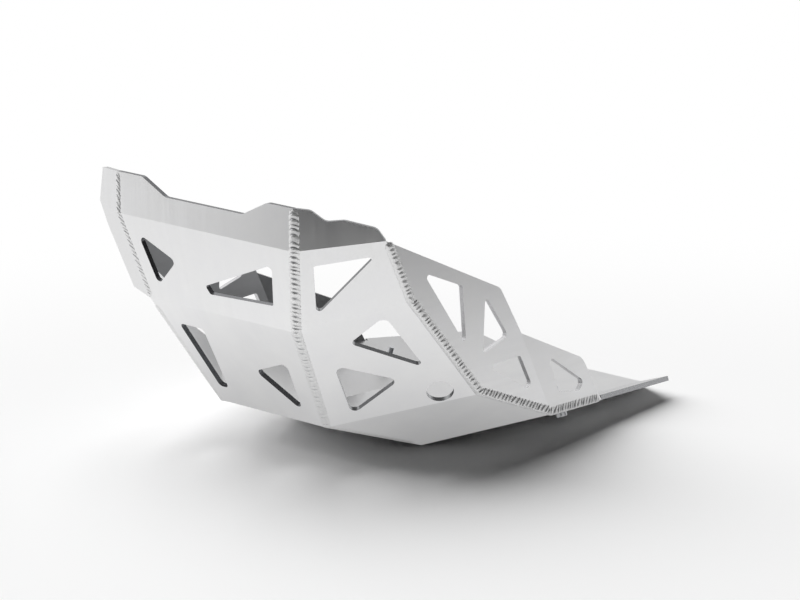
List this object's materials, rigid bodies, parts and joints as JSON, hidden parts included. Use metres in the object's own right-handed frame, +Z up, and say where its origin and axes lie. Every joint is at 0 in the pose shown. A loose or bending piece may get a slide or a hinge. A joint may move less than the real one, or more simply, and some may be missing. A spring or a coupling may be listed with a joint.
{
  "type": "motorcycle skid plate",
  "caption": "Folded and welded aluminium belly guard with triangular weight-saving cut-outs, rippled weld seams, upright side wings and a flat belly.",
  "frame": {"origin": "middle of the flat belly, on its underside", "axes": "+X to the near side of the picture, +Y to the rear of the motorcycle, +Z up"},
  "size_m": [0.3065, 0.4303, 0.221],
  "materials": {
    "sheet": "fine satin, bare",
    "weld": "rippled weld bead, bright",
    "bolt": "zinc plated"
  },
  "bodies": {
    "root": {"centre_strip": "sheet", "corner_near": "sheet", "ear_far": "sheet", "corner_far": "sheet", "wing_near": "sheet", "wing_far": "sheet", "seam_centre_near": "weld", "seam_ear_far": "weld", "seam_gusset_far": "weld", "seam_wing_near": "weld", "seam_wing_far": "weld", "mount_bolts": "bolt"}
  },
  "joints": []
}
